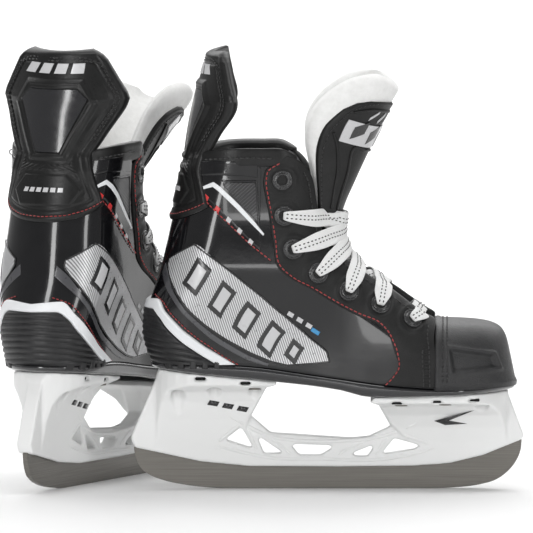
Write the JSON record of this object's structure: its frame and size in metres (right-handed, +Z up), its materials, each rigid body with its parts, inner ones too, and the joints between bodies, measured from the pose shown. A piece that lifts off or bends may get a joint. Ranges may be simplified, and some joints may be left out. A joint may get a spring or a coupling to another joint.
{
  "type": "hockey skates",
  "caption": "Pair of ice hockey skates: laced boots with stiff shells, felt tongues and tendon guards on bridged plastic holders with steel runners.",
  "frame": {"origin": "middle of the right runner's flat, on the ice", "axes": "+X along the right blade towards its toe, +Y towards the right skate's inner side, +Z up"},
  "size_m": [0.2866, 0.1977, 0.2415],
  "materials": {
    "blade_steel": "satin",
    "holder_plastic": "gloss",
    "fastener_steel": "satin",
    "outsole_gloss": "gloss",
    "board": "matte",
    "foam": "matte",
    "patent_black": "gloss",
    "lining": "matte",
    "heel_rubber": "satin",
    "band_white": "satin",
    "silver_film": "satin",
    "matte_leather": "matte",
    "eyelet_black": "satin",
    "guard_black": "satin",
    "toe_plastic": "matte",
    "felt": "matte",
    "lace_cotton": "matte"
  },
  "bodies": {
    "skates": {"right_runner": "blade_steel", "right_holder": "holder_plastic", "right_runner_bolts": "fastener_steel", "right_rivets": "fastener_steel", "right_outsole": "outsole_gloss", "right_insole_board": "board", "right_footbed": "foam", "right_quarter_shell": "patent_black", "right_liner": "lining", "right_ankle_pads": "foam", "right_heel_cup": "heel_rubber", "right_heel_band": "band_white", "right_ankle_overlay": "patent_black", "right_ankle_stripe": "band_white", "right_side_badges": "silver_film", "right_facings": "matte_leather", "right_eyelets": "eyelet_black", "right_collar": "matte_leather", "right_guard_lower": "guard_black", "right_toe_cap": "toe_plastic", "right_tongue_felt_lower": "felt", "right_tongue_cover_lower": "matte_leather", "right_lace": "lace_cotton", "left_runner": "blade_steel", "left_holder": "holder_plastic", "left_runner_bolts": "fastener_steel", "left_rivets": "fastener_steel", "left_outsole": "outsole_gloss", "left_insole_board": "board", "left_footbed": "foam", "left_quarter_shell": "patent_black", "left_liner": "lining", "left_ankle_pads": "foam", "left_heel_cup": "heel_rubber", "left_heel_band": "band_white", "left_ankle_overlay": "patent_black", "left_ankle_stripe": "band_white", "left_side_badges": "silver_film", "left_facings": "matte_leather", "left_eyelets": "eyelet_black", "left_collar": "matte_leather", "left_guard_lower": "guard_black", "left_toe_cap": "toe_plastic", "left_tongue_felt_lower": "felt", "left_tongue_cover_lower": "matte_leather", "left_lace": "lace_cotton"},
    "right_tongue": {"right_tongue_felt_upper": "felt", "right_tongue_cover_upper": "matte_leather", "right_tongue_badge": "silver_film"},
    "right_guard": {"right_guard_upper": "guard_black"},
    "left_tongue": {"left_tongue_felt_upper": "felt", "left_tongue_cover_upper": "matte_leather", "left_tongue_badge": "silver_film"},
    "left_guard": {"left_guard_upper": "guard_black"}
  },
  "joints": [
    {"name": "right_tongue_flex", "type": "hinge", "parent": "skates", "child": "right_tongue", "pos_m": [0.0094, 0, 0.15], "axis": [0, 1, 0], "range_deg": [-8, 35], "stiffness_Nm_per_rad": 0.2},
    {"name": "right_guard_flex", "type": "hinge", "parent": "skates", "child": "right_guard", "pos_m": [-0.0795, 0, 0.1806], "axis": [0, 1, 0], "range_deg": [-25, 5], "stiffness_Nm_per_rad": 0.5},
    {"name": "left_tongue_flex", "type": "hinge", "parent": "skates", "child": "left_tongue", "pos_m": [-0.11595, 0.06348, 0.15], "axis": [-0.9026, 0.4305, 0], "range_deg": [-38, 5], "stiffness_Nm_per_rad": 0.2},
    {"name": "left_guard_flex", "type": "hinge", "parent": "skates", "child": "left_guard", "pos_m": [-0.15423, -0.01676, 0.1806], "axis": [-0.9026, 0.4305, 0], "range_deg": [-25, 5], "stiffness_Nm_per_rad": 0.5}
  ]
}
